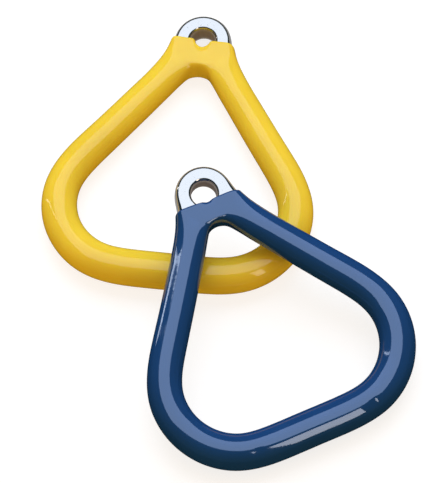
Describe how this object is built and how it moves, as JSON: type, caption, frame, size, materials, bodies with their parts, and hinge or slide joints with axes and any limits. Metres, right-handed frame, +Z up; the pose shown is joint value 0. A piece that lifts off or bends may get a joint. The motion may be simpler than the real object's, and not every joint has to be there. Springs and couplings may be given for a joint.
{
  "type": "trapeze rings",
  "caption": "Triangular hand rings with polished cast eyes and vinyl-coated grip bars, lying with the upper ring leaning on the lower.",
  "frame": {"origin": "on the floor, under the middle of the pair's bounding box", "axes": "+Z up; +Y from the leaning ring's grip bar towards the flat ring's eye; +X across"},
  "size_m": [0.2234, 0.3164, 0.0525],
  "materials": {
    "polished_metal": "polished casting",
    "yellow_vinyl": "glossy dipped vinyl",
    "blue_vinyl": "glossy dipped vinyl"
  },
  "bodies": {
    "yellow_ring": {"yellow_casting": "polished_metal", "yellow_coating": "yellow_vinyl"},
    "blue_ring": {"blue_casting": "polished_metal", "blue_coating": "blue_vinyl"}
  },
  "joints": [
    {"name": "blue_ring_lift", "type": "slide", "parent": "yellow_ring", "child": "blue_ring", "axis": [0, 0, 1], "range_m": [0, 0.15]}
  ]
}
